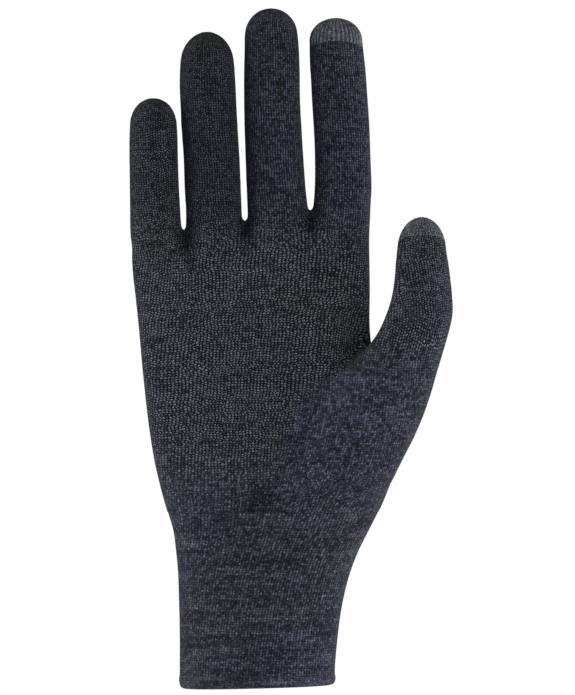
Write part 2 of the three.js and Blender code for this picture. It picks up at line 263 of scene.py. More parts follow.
def vertices_of(piece):
    points = np.empty(len(piece.data.vertices) * 3)
    piece.data.vertices.foreach_get("co", points)
    return points.reshape(-1, 3)


def set_vertices(piece, points):
    piece.data.vertices.foreach_set("co", np.ascontiguousarray(points).ravel())
    piece.data.update()


def normals_of(piece):
    normals = np.empty(len(piece.data.vertices) * 3)
    piece.data.vertices.foreach_get("normal", normals)
    return normals.reshape(-1, 3)


def pick(piece):
    bpy.ops.object.select_all(action="DESELECT")
    piece.select_set(True)
    bpy.context.view_layer.objects.active = piece


def turn_outward(piece, merge=0.0):
    """Merges what lies closer than merge, in mm, and turns the piece's faces outward."""
    pick(piece)
    bpy.ops.object.mode_set(mode="EDIT")
    bpy.ops.mesh.select_all(action="SELECT")
    if merge:
        bpy.ops.mesh.remove_doubles(threshold=merge * MM)
    bpy.ops.mesh.normals_make_consistent(inside=False)
    bpy.ops.object.mode_set(mode="OBJECT")


def apply_modifier(piece, kind, **settings):
    pick(piece)
    modifier = piece.modifiers.new(kind.lower(), kind)
    for setting, value in settings.items():
        setattr(modifier, setting, value)
    bpy.ops.object.modifier_apply(modifier=modifier.name)


tubes = [tube("trunk", TRUNK_ROWS, 120, TRUNK_SQUARENESS)]
for finger_name, finger in FINGERS.items():
    finger["sections"] = finger_sections(finger)
    tubes.append(
        tube(finger_name, finger["sections"], 64, FINGER_SQUARENESS, finger["tip"])
    )
tubes.append(tube("thumb_form", THUMB_ROWS, 72, FINGER_SQUARENESS, THUMB_TIP))
bpy.ops.object.select_all(action="DESELECT")
for form in tubes:
    form.select_set(True)
skin = tubes[0]
bpy.context.view_layer.objects.active = skin
bpy.ops.object.join()
apply_modifier(skin, "REMESH", mode="VOXEL", voxel_size=SKIN_STEP * MM, adaptivity=0)
apply_modifier(skin, "SMOOTH", factor=0.5, iterations=8)

# The hand: one seamless plain-knitted fabric from the wrist to the fingertips, of a fine wool
# yarn spun from charcoal, blue-grey and light fibres. It is 1.2 mm thick, hollow inside, and
# lies in soft dents over the palm, beside the thumb and between the roots of the fingers.
HAND_WALL = 1.2
WRIST_HEIGHT = 65.0
# how far the smoothing draws the skin in, in mm
SMOOTHING_LOSS = 0.2
# Each dent: what it is, x, height, half width, half height, turn in degrees, depth, 1 where it
# lies on the front, 1 where it lies on the back, and how much painted shade darkens its cloth,
# as shade would fall in the crease. The last two have no depth and are only painted shade on a
# finger's side.
DENTS = [
    ("hollow of the palm", -6, 118, 30, 44, 0, 1.8, 1, 0, 0),
    ("crease beside the thumb", 17, 92, 5, 34, -34, 1.5, 1, 0, 0.1),
    ("dimple over the wrist", 0, 68, 7, 8, -30, 1.6, 1, 0, 0.4),
    ("corner beside the fork", 37, 127, 6, 12, -10, 4.0, 1, 0, 0.5),
    ("between little and ring finger", -25.8, 165, 2.6, 6, 0, 1.6, 1, 1, 0.85),
    ("between ring and middle finger", -3.8, 169.5, 2.6, 6, 0, 1.6, 1, 1, 0.85),
    ("between middle and index finger", 20.0, 172.5, 2.6, 6, 0, 1.4, 1, 1, 0.85),
    ("back of the thumb's root", 30, 112, 6, 26, -30, 1.4, 0, 1, 0),
    # painted shade only: these two darken the left sides of the ring and middle finger, where the
    # finger beside them shades them
    ("painted shade on the ring finger's side by the little finger", -27.0, 197, 3.2, 30, 2, 0, 1, 1, 0.45),
    ("painted shade on the middle finger's side by the ring finger", -4.2, 204, 3.2, 32, 2, 0, 1, 1, 0.4),
]
# The fold between the palm and the ball of the thumb: its middle's x and height, how many
# degrees it leans to the thumb, its half width, and how far along it, from its middle, the
# smoothing is full and where it ends
FOLD_MIDDLE = (18, 94)
FOLD_LEAN = 34
FOLD_WIDTH = 9
FOLD_FULL = 30
FOLD_END = 46


def dent_reach(points, x, height, wide, tall, turn):
    """How far each point is into a dent, from 0 outside to 1 at its middle."""
    lean = math.radians(turn)
    right, up = points[:, 0] - x, points[:, 2] - height
    across = (right * math.cos(lean) + up * math.sin(lean)) / wide
    along = (up * math.cos(lean) - right * math.sin(lean)) / tall
    return np.exp(-(across**2) - along**2)


def press_dents(piece):
    points = vertices_of(piece) / MM
    normals = normals_of(piece)
    points += normals * (GROWTH + SMOOTHING_LOSS)
    for _, *place, depth, front, back, _ in DENTS:
        reach = depth * dent_reach(points, *place)
        facing_front = np.clip(-normals[:, 1], 0, 1) * front
        facing_back = np.clip(normals[:, 1], 0, 1) * back
        points[:, 1] += reach * (facing_front - facing_back)
    set_vertices(piece, points * MM)


def cut_away(piece, point, normal, within):
    """Cuts off what lies on the normal's side of a plane, in the faces that within picks."""
    pick(piece)
    bpy.ops.object.mode_set(mode="EDIT")
    bpy.ops.mesh.select_mode(type="FACE")
    bpy.ops.mesh.select_all(action="DESELECT")
    bpy.ops.object.mode_set(mode="OBJECT")
    middles = np.empty(len(piece.data.polygons) * 3)
    piece.data.polygons.foreach_get("center", middles)
    picked = within(middles.reshape(-1, 3) / MM)
    piece.data.polygons.foreach_set("select", picked)
    bpy.ops.object.mode_set(mode="EDIT")
    bpy.ops.mesh.bisect(
        plane_co=[value * MM for value in point],
        plane_no=normal,
        clear_outer=True,
        clear_inner=False,
        threshold=0.00025,
    )
    bpy.ops.object.mode_set(mode="OBJECT")


def soften_folds(piece):
    """Smooths the fold between the palm and the ball of the thumb, on the palm side."""
    points, normals = vertices_of(piece) / MM, normals_of(piece)
    lean = math.radians(FOLD_LEAN)
    right, up = points[:, 0] - FOLD_MIDDLE[0], points[:, 2] - FOLD_MIDDLE[1]
    along = right * math.sin(lean) + up * math.cos(lean)
    across = right * math.cos(lean) - up * math.sin(lean)
    near = np.exp(-((across / FOLD_WIDTH) ** 2)) * ease(np.abs(along), FOLD_END, FOLD_FULL)
    near = near * (normals[:, 1] < 0.2)
    group = piece.vertex_groups.new(name="fold")
    for level in np.arange(0.1, 1.01, 0.1):
        chosen = np.flatnonzero((near > level - 0.1) & (near <= level))
        group.add(chosen.tolist(), float(level), "REPLACE")
    apply_modifier(piece, "SMOOTH", factor=0.5, iterations=50, vertex_group="fold")
    piece.vertex_groups.clear()


def ease(value, low, high):
    t = np.clip((value - low) / (high - low), 0, 1)
    return t * t * (3 - 2 * t)


soften_folds(skin)
press_dents(skin)
hand = skin
hand.name = "hand"
hand.data.name = "hand"
cut_away(hand, (0, 0, WRIST_HEIGHT), (0, 0, -1), lambda p: p[:, 2] < 80)

# The edge of each touch tip: the finger, its middle line's x and y there, the height where the
# edge crosses it, and its tilt, which is higher on the palm side
TIP_TILT = 20
TIP_EDGES = {
    "index": dict(middle=(29.0, -2.9), height=234.8, above=222, left=17.0, right=50.0),
    "thumb": dict(middle=(60.0, -12.3), height=163.8, above=155, left=47.0, right=80.0),
}
tilt = math.radians(TIP_TILT)
for edge in TIP_EDGES.values():
    x, y = edge["middle"]
    cut_away(
        hand,
        (x, y, edge["height"]),
        (0, math.sin(tilt), math.cos(tilt)),
        lambda p: (p[:, 2] > edge["above"]) & (p[:, 0] > edge["left"]) & (p[:, 0] < edge["right"]),
    )
apply_modifier(
    hand, "SOLIDIFY", thickness=HAND_WALL * MM, offset=-1, use_even_offset=False
)

# How the knitting runs over the hand: u counts the wales, which are its columns, from the left
# edge over the front, and less than nothing over the back; v counts the courses from the wrist.
# The hand's lowest stitches carry on the cuff's ribs.
# The height of a course, in mm; the wales across the palm, and by how many they lean to the
# thumb's side; how far a course rises to that side, for each mm; from wale to wale on the thumb,
# in mm; the ribs round the cuff, and by how many they lean to the thumb's side
COURSE = 0.9
PALM_WALES = 72
SKEW_WALES = 11
ROW_RISE = 0.04
THUMB_PITCH = 1.0
CUFF_RIBS = 148
RIB_LEAN = 5.6
# The palm's depth as a share of its width, the lowest height of the fingers' tubes and the
# height where their own knitting starts, the height and x of the thumb's fork, the palm's own
# right edge under it, the top of the thumb's ball, and how far the thumb stands forward
PALM_THICKNESS = 0.34
FINGER_LOWEST = 150
FINGER_ROOTS = 158
FORK_HEIGHT = 127
FORK_X = 41.8
PALM_EDGE = 41.6
BALL_TOP = 120.0
THUMB_FORWARD = 12.5
# height and x of the line where the palm's wales meet those of the ball of the thumb
FRONT_CREASE = [(62, 0), (71, 3), (92, 11), (109, 17.3), (121, 37.9), (FORK_HEIGHT, FORK_X)]
BACK_CREASE = [(62, 30), (95, 38), (FORK_HEIGHT, FORK_X)]
# the steps round a section by which its length is measured
ROUND_STEPS = 720
# how deep the wales and the courses are cut, how much of the yarn is blue, and how light the
# cloth is drawn in each zone
KNIT_ZONES = {
    "palm": (1.0, 1.0, 0.15, 1.0),
    "ball": (0.42, 0.42, 1.0, 0.84),
    "thumb": (1.0, 0.95, 0.5, 0.85),
    "cuff": (0.55, 0.42, 0.6, 0.83),
    "little": (1.0, 1.0, 0.1, 0.68),
    "ring": (1.0, 0.85, 0.4, 0.5),
    "middle": (0.9, 0.45, 0.95, 0.56),
    "index": (0.9, 0.5, 0.95, 0.58),
    "hem": (0.25, 0.3, 0.5, 1.0),
    "index tip": (0.7, 0.3, 0.0, 0.88),
    "thumb tip": (0.9, 0.75, 0.0, 1.0),
}


def rib_lean(z):
    """How many ribs the cuff's ribs have leant to the thumb's side at these heights."""
    return RIB_LEAN * (z / WRIST_HEIGHT) ** 1.5


def share_round(width, depth, squareness):
    """For each direction from a section's middle, how far round its front it lies, 0 to 1."""
    angle = np.linspace(-math.pi, math.pi, ROUND_STEPS + 1)
    right, out = rounded(np.sin(angle), squareness), rounded(np.cos(angle), squareness)
    steps = np.hypot(np.diff(right) * width, np.diff(out) * depth)
    length = np.concatenate([[0], np.cumsum(steps)])
    quarter = ROUND_STEPS // 4
    share = (length - length[quarter]) / (length[3 * quarter] - length[quarter])
    return np.arctan2(right, out), share


def way_round(points, front, sizes, table, dip=0.0):
    """How far each point lies round the front or the back of its section, 0 to 1. Where dip is
    1, a point sunk between two fingers counts as if it lay on the section."""
    left, right, near, far = sizes[:, 0], sizes[:, 1], sizes[:, 2], sizes[:, 3]
    across = (points[:, 0] - (left + right) / 2) / ((right - left) / 2)
    out = (points[:, 1] - (near + far) / 2) / ((far - near) / 2)
    out = np.where(front, -out, out)
    inner = 1 - np.clip(np.abs(across), 0, 1) ** TRUNK_SQUARENESS
    out = out + dip * np.maximum(inner ** (1 / TRUNK_SQUARENESS) - out, 0)
    return np.interp(np.arctan2(across, out), *table)


def crease_at(front, z):
    """The x of the crease between the palm and the ball of the thumb, on the front or back."""
    on_front, on_back = (np.interp(z, *zip(*line)) for line in (FRONT_CREASE, BACK_CREASE))
    return np.where(front, on_front, on_back)


def is_thumb(x, z):
    return (z > FORK_HEIGHT) & (x > FORK_X + 0.6 * np.clip(z - FORK_HEIGHT, 0, 20))


def near_finger(name, x, z):
    """Whether points belong to a finger, up to the middle of the gap on each side of it."""
    sides = [sizes_at(finger["rows"], z) for finger in FINGERS.values()]
    gaps_passed = sum(x > (one[:, 1] + two[:, 0]) / 2 for one, two in zip(sides, sides[1:]))
    return (z > FINGER_LOWEST) & ~is_thumb(x, z) & (gaps_passed == list(FINGERS).index(name))


def runs_of_knitting(middles, front):
    """Which run of wales each face belongs to; where two runs meet, their stitches mingle."""
    x, y, z = middles.T
    # a random number for each face, the same whenever the script runs
    mixed = np.modf(np.abs(np.sin(x * 12.99 + y * 78.2 + z * 37.7) * 4375.5))[0]
    run = np.full(len(x), "palm", dtype="U8")
    run[(z < FORK_HEIGHT) & (x > crease_at(front, z) + 6 * (mixed - 0.5))] = "thumb"
    run[is_thumb(x, z)] = "thumb"
    run[z < WRIST_HEIGHT + 18 * mixed] = "cuff"
    for name in FINGERS:
        _, low, high = FINGERS[name]["rows"][3]
        off_middle = np.abs(2 * x - low - high) / (high - low)
        start = FINGER_ROOTS + 14 * mixed + 16 * np.clip(off_middle - 0.6, 0, 0.5)
        run[near_finger(name, x, z) & (z > start)] = name
    return run


def dome_length(z, top, dome):
    """How far up the cloth a height is, where the cloth curves in over a round tip."""
    rise = np.clip((z - top) / dome, 0, 1)
    return np.where(z > top, top + dome * np.arcsin(rise), z)


def hand_knitting(points, front, run):
    """The wales and courses at points on the hand, in mm, each in its run."""
    x, y, z = points.T
    side = np.where(front, 1.0, -1.0)
    flat = share_round(1, PALM_THICKNESS, TRUNK_SQUARENESS)
    round_ = share_round(1, FINGER_THICKNESS, FINGER_SQUARENESS)
    trunk = sizes_at(TRUNK_ROWS, np.minimum(z, FINGER_ROOTS))[:, :4]
    ribs = CUFF_RIBS / 2 * side * way_round(points, front, trunk, flat)
    ribs = ribs - rib_lean(z)
    trunk[:, 1] = np.minimum(trunk[:, 1], PALM_EDGE)
    dip = ease(z, 148, FINGER_ROOTS) * ease(np.abs(x), 40, 32)
    u = PALM_WALES * side * way_round(points, front, trunk, flat, dip)
    u = u - SKEW_WALES * (ease(z, 40, 170) - 0.5)
    u = u - 5 * ease(z, 118, 168) * ease(-x, 18, 44)
    u = np.where(run == "cuff", ribs, u)
    v = z - ROW_RISE * x
    thumb = sizes_at(THUMB_ROWS, z)
    half_round = math.pi / 2 * np.hypot(thumb[:, 1] - thumb[:, 0], thumb[:, 3] - thumb[:, 2])
    half_round = half_round / math.sqrt(2)
    middle = (thumb[:, 0] + thumb[:, 1]) / 2
    way = half_round * (1 - way_round(points, front, thumb, round_))
    way = np.where(x < middle, half_round / 2 + middle - x, way)
    fork_edge = sizes_at(THUMB_ROWS, np.array([BALL_TOP]))[0, 1]
    way = way + 0.5 * np.where(z < BALL_TOP, fork_edge - thumb[:, 1], 0)
    u = np.where(run == "thumb", -side * way / THUMB_PITCH, u)
    v_thumb = dome_length(z, THUMB_ROWS[-1][0], THUMB_TIP)
    v_thumb = v_thumb - 0.18 * (x - FORK_X) * ease(z, 118, 136)
    v = np.where(run == "thumb", v_thumb, v)
    first = 0
    for name, finger in FINGERS.items():
        sizes = sizes_at(finger["sections"], z)
        share = way_round(points, front, sizes, round_)
        u = np.where(run == name, first + finger["wales"] * side * share, u)
        v_finger = dome_length(z, finger["rows"][-1][0], finger["tip"])
        v = np.where(run == name, v_finger, v)
        first += 2 * finger["wales"]
    return np.stack([u, v / COURSE, np.zeros(len(u))], axis=1)


def hand_zones(points, front):
    """The knit zone's values at points on the hand, each zone easing into the next, with the dents'
    painted shade darkening its lightness.
    """
    x, _, z = points.T
    zones = {name: np.array(values) for name, values in KNIT_ZONES.items()}
    zone = np.broadcast_to(zones["palm"], (len(x), 4))

    def ease_to(zone, name, share):
        return zone * (1 - share[:, None]) + zones[name] * share[:, None]

    crease = crease_at(front, z)
    zone = ease_to(zone, "ball", ease(x, crease - 5, crease + 6) * (z < FORK_HEIGHT))
    past = x > FORK_X
    zone = ease_to(zone, "thumb", past * ease(z, 112, 136))
    zone = ease_to(zone, "palm", ~past * ease(z, 121, FORK_HEIGHT))
    zone = ease_to(zone, "cuff", ease(z, 96, 66))
    for name in FINGERS:
        zone = ease_to(zone, name, near_finger(name, x, z) * ease(z, FINGER_LOWEST, 188))
    # painted shade: darker cloth in the dents, between the fingers' roots and on two fingers' sides,
    # where shade would fall
    for _, *place, _, on_front, on_back, painted_shade in DENTS:
        dark = painted_shade * dent_reach(points, *place) * np.where(front, on_front, on_back)
        zone = zone * (1 - dark[:, None] * np.array([0, 0, 0, 1]))
    return zone


def corners_of(piece):
    """For each corner of each face: its vertex, and its face."""
    corner = np.empty(len(piece.data.loops), int)
    piece.data.loops.foreach_get("vertex_index", corner)
    count = np.empty(len(piece.data.polygons), int)
    piece.data.polygons.foreach_get("loop_total", count)
    return corner, np.repeat(np.arange(len(count)), count)


def write_knitting(piece, values, zone):
    """Writes the knitting and its zone's values on a piece's corners, for its material."""
    zone = np.broadcast_to(zone, (len(values), 4))
    for name, vectors in (("knit", values), ("depth", zone[:, :3])):
        layer = piece.data.attributes.new(name, "FLOAT_VECTOR", "CORNER")
        layer.data.foreach_set("vector", np.ascontiguousarray(vectors, np.float32).ravel())
    layer = piece.data.attributes.new("light", "FLOAT", "CORNER")
    layer.data.foreach_set("value", np.ascontiguousarray(zone[:, 3], np.float32))


corner, face = corners_of(hand)
points = vertices_of(hand) / MM
middles = np.empty(len(hand.data.polygons) * 3)
hand.data.polygons.foreach_get("center", middles)
middles = middles.reshape(-1, 3) / MM
front = middles[:, 1] < np.where(is_thumb(middles[:, 0], middles[:, 2]), -THUMB_FORWARD, 0.0)
run = runs_of_knitting(middles, front)
write_knitting(
    hand,
    hand_knitting(points[corner], front[face], run[face]),
    hand_zones(points[corner], front[face]),
)


# How the yarn is shown: the wales and courses counted on each piece's corners become stitches,
# with the light and dark stretches of a mixed yarn, in one node group for every yarn.
def feed(tree, node, values):
    """Gives a node's inputs numbers or sockets, in their order, and returns its output."""
    for socket, value in zip(node.inputs, values):
        if isinstance(value, (int, float)):
            socket.default_value = value
        else:
            tree.links.new(value, socket)
    return node.outputs[0]


def math_node(tree, operation, *values, clamp=False):
    """A Math node over numbers and sockets, and its output."""
    node = tree.nodes.new("ShaderNodeMath")
    node.operation = operation
    node.use_clamp = clamp
    return feed(tree, node, values)


def joined(tree, x, y, z):
    """A vector from three numbers or sockets."""
    return feed(tree, tree.nodes.new("ShaderNodeCombineXYZ"), (x, y, z))


def noise(tree, place, scale, detail=2.0, roughness=0.5):
    node = tree.nodes.new("ShaderNodeTexNoise")
    node.inputs["Scale"].default_value = scale
    node.inputs["Detail"].default_value = detail
    node.inputs["Roughness"].default_value = roughness
    tree.links.new(place, node.inputs["Vector"])
    return node.outputs["Fac"]


# In stitches: how far wales and courses wander, how far a stitch's legs slant, how unlevel one
# wale is with the next, and how far one course jogs from the next
WALE_WANDER = 0.9
COURSE_WANDER = 1.5
STITCH_SLANT = 0.8
WALE_UNLEVEL = 0.7
COURSE_JOG = 0.5
# How far under 1 a full wale and a full course lie on average, and the mean height of a stitch
# with both
WALE_MEAN_FALL = 0.467
COURSE_MEAN_FALL = 0.5
MEAN_HEIGHT = 0.267


def knit_pattern():
    """The stitches of a plain knit in a mixed yarn. Each wale is a chain of V-shaped stitches
    with two legs; the yarn runs along a course, so that its light and dark stretches do too."""
    tree = bpy.data.node_groups.new("heathered knit", "ShaderNodeTree")
    face = tree.interface
    face.new_socket("Knit", in_out="INPUT", socket_type="NodeSocketVector")
    face.new_socket("Depth", in_out="INPUT", socket_type="NodeSocketVector")
    for name, value in (
        ("Stitch contrast", 0.5),
        ("Streak contrast", 0.5),
        ("Streak length", 9.0),
    ):
        socket = face.new_socket(name, in_out="INPUT", socket_type="NodeSocketFloat")
        socket.default_value = value
    face.new_socket("Tone", in_out="OUTPUT", socket_type="NodeSocketFloat")
    face.new_socket("Height", in_out="OUTPUT", socket_type="NodeSocketFloat")
    given = tree.nodes.new("NodeGroupInput")
    made = tree.nodes.new("NodeGroupOutput")
    parts = tree.nodes.new("ShaderNodeSeparateXYZ")
    tree.links.new(given.outputs["Knit"], parts.inputs[0])
    u, v, _ = parts.outputs

    def calc(operation, *values, clamp=False):
        return math_node(tree, operation, *values, clamp=clamp)

    def chance(dimensions, socket, value):
        """A random number from -0.5 to 0.5 for each value."""
        node = tree.nodes.new("ShaderNodeTexWhiteNoise")
        node.noise_dimensions = dimensions
        tree.links.new(value, node.inputs[socket])
        return calc("SUBTRACT", node.outputs["Value"], 0.5)

    depths = tree.nodes.new("ShaderNodeSeparateXYZ")
    tree.links.new(given.outputs["Depth"], depths.inputs[0])
    wale_depth, course_depth, _ = depths.outputs
    # no wale and no course is quite straight
    place = joined(tree, calc("MULTIPLY", u, 0.12), calc("MULTIPLY", v, 0.1), 0.0)
    across = calc("MULTIPLY", calc("SUBTRACT", noise(tree, place, 1.0), 0.5), WALE_WANDER)
    place = joined(tree, calc("MULTIPLY", u, 0.15), calc("MULTIPLY", v, 0.12), 5.0)
    along = calc("MULTIPLY", calc("SUBTRACT", noise(tree, place, 1.0), 0.5), COURSE_WANDER)
    u = calc("ADD", u, across)
    v = calc("ADD", v, along)
    # each stitch is a V, not quite level with its neighbours nor quite above the last one
    squared = calc("MULTIPLY", course_depth, course_depth)
    unlevel = calc("MULTIPLY", chance("1D", "W", calc("FLOOR", u)), WALE_UNLEVEL)
    off = calc("ABSOLUTE", calc("SUBTRACT", calc("FRACT", u), 0.5))
    slant = calc("MULTIPLY", off, STITCH_SLANT)
    slanted = calc("ADD", calc("ADD", v, slant), calc("MULTIPLY", unlevel, squared))
    course = calc("FLOOR", slanted)
    shift = calc("MULTIPLY", chance("1D", "W", course), COURSE_JOG)
    shift = calc("MULTIPLY", shift, squared)
    u = calc("ADD", u, shift)
    # it stands up in the middle of its wale and its course
    off = calc("ABSOLUTE", calc("SUBTRACT", calc("FRACT", u), 0.5))
    side_fall = calc("MULTIPLY", calc("MULTIPLY", off, off), 4.0)
    wale = calc("POWER", calc("SUBTRACT", 1.0, side_fall), 2.0)
    bead = calc("POWER", calc("SINE", calc("MULTIPLY", calc("FRACT", slanted), math.pi)), 2.0)
    wale_fall = calc("MULTIPLY", wale_depth, calc("SUBTRACT", 1.0, wale))
    bead_fall = calc("MULTIPLY", course_depth, calc("SUBTRACT", 1.0, bead))
    height = calc("MULTIPLY", calc("SUBTRACT", 1.0, wale_fall), calc("SUBTRACT", 1.0, bead_fall))
    # each stitch has its own tone
    stitch = chance("3D", "Vector", joined(tree, calc("FLOOR", u), course, 0.0))
    # the yarn's light and dark stretches along a course, and groups of them
    run = calc("DIVIDE", u, given.outputs["Streak length"])
    streak = noise(tree, joined(tree, run, calc("MULTIPLY", course, 3.7), 0.0), 1.0, 1.0)
    place = joined(tree, calc("MULTIPLY", run, 0.6), calc("MULTIPLY", v, 0.22), 9.0)
    group = calc("SUBTRACT", noise(tree, place, 1.0), 0.5)
    streak = calc("ADD", calc("SUBTRACT", streak, 0.5), group)
    stitch = calc("MULTIPLY", stitch, given.outputs["Stitch contrast"])
    streak = calc("MULTIPLY", streak, given.outputs["Streak contrast"])
    strength = calc("MAXIMUM", calc("ADD", 0.5, calc("ADD", stitch, streak)), 0.22)
    # the tone is darkened by the stitch's height, painted shade in the gaps between wales and
    # courses; a shallow stitch has less of it, so its tone is evened out
    wale_mean = calc("SUBTRACT", 1.0, calc("MULTIPLY", wale_depth, WALE_MEAN_FALL))
    bead_mean = calc("SUBTRACT", 1.0, calc("MULTIPLY", course_depth, COURSE_MEAN_FALL))
    even = calc("DIVIDE", MEAN_HEIGHT, calc("MULTIPLY", wale_mean, bead_mean))
    tone = calc("MULTIPLY", calc("MULTIPLY", height, even), strength, clamp=True)
    tree.links.new(tone, made.inputs["Tone"])
    tree.links.new(height, made.inputs["Height"])
    return tree


heathered_knit = knit_pattern()


def yarn_material(name, colours, knit, tint, bump):
    """A yarn's material: tones from dark to light fibres, with painted shade in the stitches' gaps
    and the zone's lightness, tinted in soft patches.
    """
    material = bpy.data.materials.new(name)
    material.use_nodes = True
    tree = material.node_tree
    shader = tree.nodes["Principled BSDF"]
    shader.inputs["Roughness"].default_value = 0.95
    shader.inputs["Specular IOR Level"].default_value = 0.08
    shader.inputs["Sheen Weight"].default_value = 0.06
    shader.inputs["Sheen Roughness"].default_value = 0.45
    shader.inputs["Sheen Tint"].default_value = (0.75, 0.8, 0.9, 1)
    read = {}
    for attribute in ("knit", "depth", "light"):
        read[attribute] = tree.nodes.new("ShaderNodeAttribute")
        read[attribute].attribute_name = attribute
    pattern = tree.nodes.new("ShaderNodeGroup")
    pattern.node_tree = heathered_knit
    tree.links.new(read["knit"].outputs["Vector"], pattern.inputs["Knit"])
    tree.links.new(read["depth"].outputs["Vector"], pattern.inputs["Depth"])
    for socket, value in knit.items():
        pattern.inputs[socket].default_value = value
    ramp = tree.nodes.new("ShaderNodeValToRGB")
    stops = ramp.color_ramp.elements
    stops[0].position, stops[0].color = 0.0, (*colours[0], 1)
    stops[1].position, stops[1].color = 0.32, (*colours[2], 1)
    stops.new(0.13).color = (*colours[1], 1)
    tree.links.new(pattern.outputs["Tone"], ramp.inputs["Fac"])
    spot = tree.nodes.new("ShaderNodeTexCoord")
    # loose fibres over the stitches
    fibre = noise(tree, spot.outputs["Object"], 2600.0, 2.0, 0.6)
    gain = math_node(tree, "MAXIMUM", math_node(tree, "MULTIPLY_ADD", fibre, 6.5, -2.25), 0.1)
    # the zone's lightness, which holds the painted shade of the hand's dents
    gain = math_node(tree, "MULTIPLY", gain, read["light"].outputs["Fac"])
    grey = tree.nodes.new("ShaderNodeCombineColor")
    for socket in grey.inputs:
        tree.links.new(gain, socket)
    fibres_and_painted_shade = tree.nodes.new("ShaderNodeMix")
    fibres_and_painted_shade.data_type = "RGBA"
    fibres_and_painted_shade.blend_type = "MULTIPLY"
    fibres_and_painted_shade.inputs["Factor"].default_value = 1.0
    tree.links.new(ramp.outputs["Color"], fibres_and_painted_shade.inputs["A"])
    tree.links.new(grey.outputs["Color"], fibres_and_painted_shade.inputs["B"])
    # soft patches where more of the blue fibre shows
    patch = noise(tree, spot.outputs["Object"], 30.0, 2.0, 0.5)
    share = tree.nodes.new("ShaderNodeSeparateXYZ")
    tree.links.new(read["depth"].outputs["Vector"], share.inputs[0])
    amount = math_node(tree, "MULTIPLY_ADD", patch, 2.4, -1.2)
    amount = math_node(tree, "ADD", amount, share.outputs["Z"], clamp=True)
    blue = tree.nodes.new("ShaderNodeMix")
    blue.data_type = "RGBA"
    blue.blend_type = "MULTIPLY"
    blue.inputs["B"].default_value = (*tint, 1)
    tree.links.new(amount, blue.inputs["Factor"])
    tree.links.new(fibres_and_painted_shade.outputs["Result"], blue.inputs["A"])
    tree.links.new(blue.outputs["Result"], shader.inputs["Base Color"])
    raised = tree.nodes.new("ShaderNodeBump")
    raised.inputs["Strength"].default_value = 1.0
    raised.inputs["Distance"].default_value = bump
    tree.links.new(pattern.outputs["Height"], raised.inputs["Height"])
    tree.links.new(raised.outputs["Normal"], shader.inputs["Normal"])
    return material


def finish(piece, material, slot, *nodes):
    """Gives a finished piece its material and sets it in place of its CAD nodes."""
    piece.data.materials.clear()
    piece.data.materials.append(material)
    pick(piece)
    bpy.ops.object.shade_smooth_by_angle(angle=math.radians(50))
    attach(piece, "root")
    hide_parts(*nodes)


# the yarn's darkest tone, taken by the dark fibres and by the painted shade in the stitches'
# gaps, its middle and lightest fibres, the tint of its blue ones, and how far its stitches stand
# out, in metres
CHARCOAL = [(0.0004, 0.0004, 0.0005), (0.026, 0.0278, 0.0325), (0.105, 0.111, 0.126)]
BLUE_TINT = (0.95, 1.0, 1.28)
STITCH_BUMP = 0.0003
hand_yarn = yarn_material(
    "charcoal hand knit",
    colours=CHARCOAL,
    knit={"Stitch contrast": 0.6, "Streak contrast": 0.45, "Streak length": 9.0},
    tint=BLUE_TINT,
    bump=STITCH_BUMP,
)
finish(
    hand,
    hand_yarn,
    "hand_knit",
    "lower_palm",
    "upper_palm",
    "little_finger",
    "ring_finger",
    "middle_finger",
    "index_finger",
    "thumb",
)

# The cuff: rib-knitted in the hand's yarn, so that it stretches and hugs the wrist. Its ribs
# run up from the hem, lean a little to the thumb and widen with the wrist.
COLUMNS_A_RIB = 3
CUFF_ROW = 0.65
CUFF_WALL = 1.5
RIB_RELIEF = 0.06
HEM_HEIGHT = 5.0


def rib_wave(column):
    """How far each column of vertices stands out in its rib, as a cosine."""
    return np.cos(column / COLUMNS_A_RIB * 2 * math.pi)


def even_ring(sizes, shares, squareness):
    """Points at even steps round one section, from its left edge by the front."""
    angle = np.linspace(math.pi, 3 * math.pi, ROUND_STEPS + 1)
    x, y, _ = ring_points(sizes[None, :].repeat(ROUND_STEPS + 1, 0), angle, squareness)
    length = np.concatenate([[0], np.cumsum(np.hypot(np.diff(x), np.diff(y)))])
    at = (shares % 1.0) * length[-1]
    return np.interp(at, length, x), np.interp(at, length, y)


def open_tube(name, columns, rings):
    """A plain cylinder with open ends, cut into rings, with each vertex's column and ring."""
    bpy.ops.object.select_all(action="DESELECT")
    bpy.ops.mesh.primitive_cylinder_add(vertices=columns, radius=1, depth=1, end_fill_type="NOTHING")
    piece = bpy.context.object
    piece.name = name
    piece.data.name = name
    cut_rings(piece, rings)
    points = vertices_of(piece)
    turn = np.arctan2(points[:, 1], points[:, 0]) / (2 * math.pi)
    column = np.floor(turn * columns + 0.25).astype(int) % columns
    ring = np.rint((points[:, 2] + 0.5) * (rings - 1)).astype(int)
    return piece, column, ring


def columns_unrolled(piece, u, v, period):
    """The knitting at each corner, run on past the last column where a face crosses it."""
    corner, face = corners_of(piece)
    first = np.zeros(len(piece.data.polygons))
    first[face[::-1]] = u[corner[::-1]]
    at = u[corner]
    at = at + period * np.rint((first[face] - at) / period)
    return np.stack([at, v[corner], np.zeros(len(at))], axis=1)


